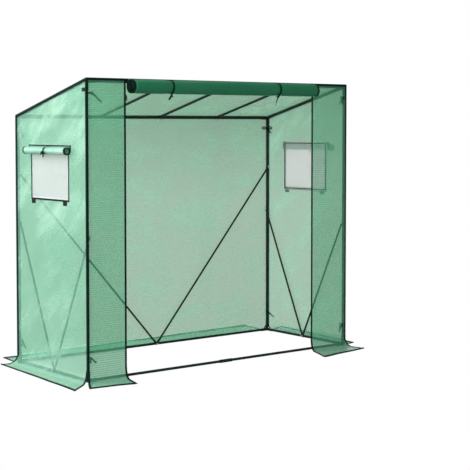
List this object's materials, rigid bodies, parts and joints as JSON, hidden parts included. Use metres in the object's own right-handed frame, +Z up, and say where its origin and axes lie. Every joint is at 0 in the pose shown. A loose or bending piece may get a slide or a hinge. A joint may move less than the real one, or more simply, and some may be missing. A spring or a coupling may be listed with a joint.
{
  "type": "greenhouse",
  "caption": "Lean-to greenhouse: bolted tube frame under a translucent sewn cover with ground skirts, a roll-up front door and roll-up flaps over side net windows.",
  "frame": {"origin": "on the ground under the middle of the whole footprint, skirts included", "axes": "+X to the right seen from the door, along the long side; +Y from the door to the rear wall; +Z up"},
  "size_m": [2.31, 1.28, 1.6813],
  "materials": {
    "frame_tube": "semi-gloss powder coat, near black green",
    "connector": "semi-gloss powder coat, near black green",
    "fastener": "bright zinc",
    "cover_sheet": "glossy translucent reinforced sheet, light green",
    "door_sheet": "glossy translucent reinforced sheet, green",
    "window_net": "fine pale net",
    "binding": "woven tape, dark green",
    "hook_pad": "black hook fastening",
    "zip": "coil zip, dark green",
    "zip_slider": "painted, dark green",
    "ribbon": "woven ribbon, dark green"
  },
  "bodies": {
    "root": {"front_left_post_lower": "frame_tube", "front_left_post_upper": "frame_tube", "front_right_post_lower": "frame_tube", "front_right_post_upper": "frame_tube", "rear_left_post_lower": "frame_tube", "rear_left_post_upper": "frame_tube", "rear_right_post_lower": "frame_tube", "rear_right_post_upper": "frame_tube", "front_top_rail_left": "frame_tube", "front_top_rail_right": "frame_tube", "rear_top_rail_left": "frame_tube", "rear_top_rail_right": "frame_tube", "front_ground_rail_left": "frame_tube", "front_ground_rail_right": "frame_tube", "rear_ground_rail_left": "frame_tube", "rear_ground_rail_right": "frame_tube", "left_ground_rail": "frame_tube", "right_ground_rail": "frame_tube", "left_rafter": "frame_tube", "inner_rafter_1": "frame_tube", "inner_rafter_2": "frame_tube", "inner_rafter_3": "frame_tube", "right_rafter": "frame_tube", "rear_left_brace_lower": "frame_tube", "rear_left_brace_upper": "frame_tube", "rear_right_brace_lower": "frame_tube", "rear_right_brace_upper": "frame_tube", "left_front_brace": "frame_tube", "left_rear_brace": "frame_tube", "right_front_brace": "frame_tube", "right_rear_brace": "frame_tube", "top_corner_connectors": "connector", "ground_corner_connectors": "connector", "ground_rail_sleeve": "connector", "bolts": "fastener", "wing_nuts": "fastener", "roof_panel": "cover_sheet", "rear_panel": "cover_sheet", "left_panel": "cover_sheet", "right_panel": "cover_sheet", "front_left_panel": "door_sheet", "front_right_panel": "door_sheet", "left_window_net": "window_net", "right_window_net": "window_net", "edge_binding": "binding", "hook_pads": "hook_pad", "left_zip": "zip", "right_zip": "zip", "door_strip": "door_sheet", "door_ties": "ribbon", "left_flap_strip": "cover_sheet", "left_flap_tie": "ribbon", "right_flap_strip": "cover_sheet", "right_flap_tie": "ribbon", "post_ties": "ribbon"},
    "door": {"door_roll": "door_sheet"},
    "left_flap": {"left_flap_roll": "cover_sheet"},
    "right_flap": {"right_flap_roll": "cover_sheet"},
    "left_slider": {"left_zip_slider": "zip_slider"},
    "right_slider": {"right_zip_slider": "zip_slider"}
  },
  "joints": [
    {"name": "door_lower", "type": "slide", "parent": "root", "child": "door", "axis": [0, 0, -1], "range_m": [0, 1.55], "deforming": ["door_strip", "door_ties"]},
    {"name": "left_flap_lower", "type": "slide", "parent": "root", "child": "left_flap", "axis": [0, 0, -1], "range_m": [0, 0.3], "deforming": ["left_flap_strip", "left_flap_tie"]},
    {"name": "right_flap_lower", "type": "slide", "parent": "root", "child": "right_flap", "axis": [0, 0, -1], "range_m": [0, 0.3], "deforming": ["right_flap_strip", "right_flap_tie"]},
    {"name": "left_zip_close", "type": "slide", "parent": "root", "child": "left_slider", "axis": [0, 0, -1], "range_m": [0, 1.45]},
    {"name": "right_zip_close", "type": "slide", "parent": "root", "child": "right_slider", "axis": [0, 0, -1], "range_m": [0, 1.45]}
  ]
}
